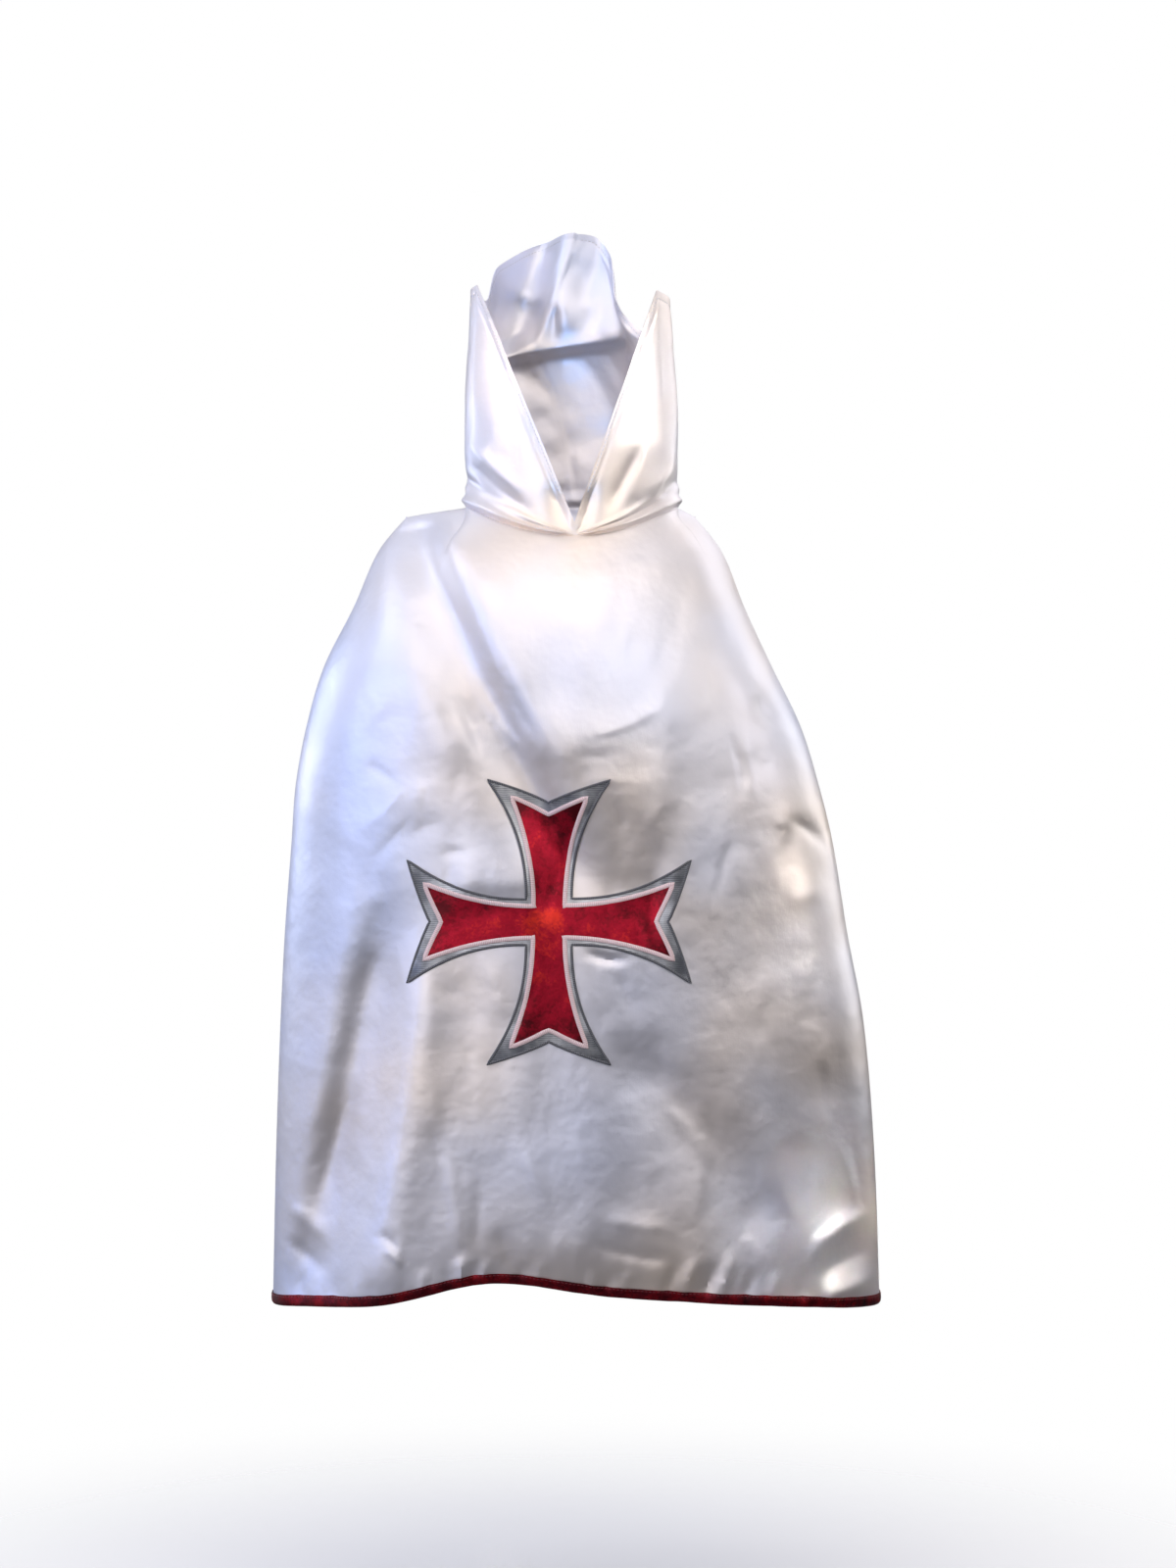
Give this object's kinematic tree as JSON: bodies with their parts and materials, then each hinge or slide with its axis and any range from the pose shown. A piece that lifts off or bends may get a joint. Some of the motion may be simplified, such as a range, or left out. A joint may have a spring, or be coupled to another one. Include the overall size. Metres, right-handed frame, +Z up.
{
  "type": "hooded knight cape",
  "caption": "Hollow pull-over knight cape in silver satin, with a standing open hood, flaring body, red bound hem and a red notched cross with a silver border on the front.",
  "frame": {"origin": "middle of the neck opening at the height of the shoulder seams, where the wearer's shoulders hold the cape", "axes": "+Z up, the front faces -Y, +X is the wearer's left"},
  "size_m": [0.5593, 0.2894, 0.9916],
  "materials": {
    "silver_satin": "silver-white glossy satin",
    "silver_grey_cloth": "silver-grey lame cloth",
    "red_metallic_cloth": "red metallic cloth"
  },
  "bodies": {
    "root": {"cape_front": "silver_satin", "cape_back": "silver_satin", "hood_right": "silver_satin", "hood_left": "silver_satin", "hem_binding_front": "red_metallic_cloth", "hem_binding_back": "red_metallic_cloth", "cross_border": "silver_grey_cloth", "cross_face": "red_metallic_cloth"}
  },
  "joints": []
}
